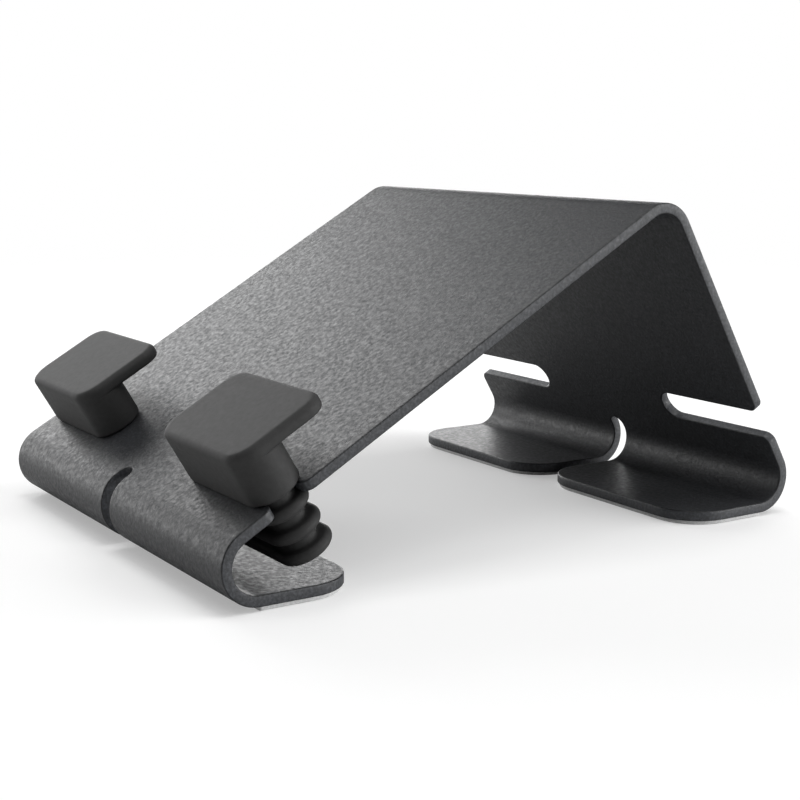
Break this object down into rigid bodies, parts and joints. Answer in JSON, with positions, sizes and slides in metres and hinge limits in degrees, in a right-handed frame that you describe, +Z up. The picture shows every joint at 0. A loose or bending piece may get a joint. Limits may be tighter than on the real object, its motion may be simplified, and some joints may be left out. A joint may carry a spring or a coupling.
{
  "type": "tablet stand",
  "caption": "Desktop tablet stand: a bent steel plate with a sloping deck, slotted bends and lobed feet, rubber hooks with lips in its front slots and pads under its feet.",
  "frame": {"origin": "middle of the box that the stand fills, on the desk surface under its pads", "axes": "+Z up, +Y from the front bend with the hooks towards the rear leg, +X to the right side of the stand seen from the front"},
  "size_m": [0.127, 0.1644, 0.0823],
  "materials": {
    "powder_coated_steel": "fine-textured satin powder coat, dark charcoal",
    "hook_rubber": "smooth matte, dark grey",
    "pad_rubber": "matte, pale grey"
  },
  "bodies": {
    "stand": {"stand_plate": "powder_coated_steel", "front_left_pad": "pad_rubber", "front_right_pad": "pad_rubber", "rear_left_pad": "pad_rubber", "rear_right_pad": "pad_rubber"},
    "left_hook": {"left_hook": "hook_rubber"},
    "right_hook": {"right_hook": "hook_rubber"}
  },
  "joints": [
    {"name": "left_hook_slide", "type": "slide", "parent": "stand", "child": "left_hook", "axis": [-1, 0, 0], "range_m": [0, 0.042]},
    {"name": "right_hook_slide", "type": "slide", "parent": "stand", "child": "right_hook", "axis": [1, 0, 0], "range_m": [0, 0.042]}
  ]
}
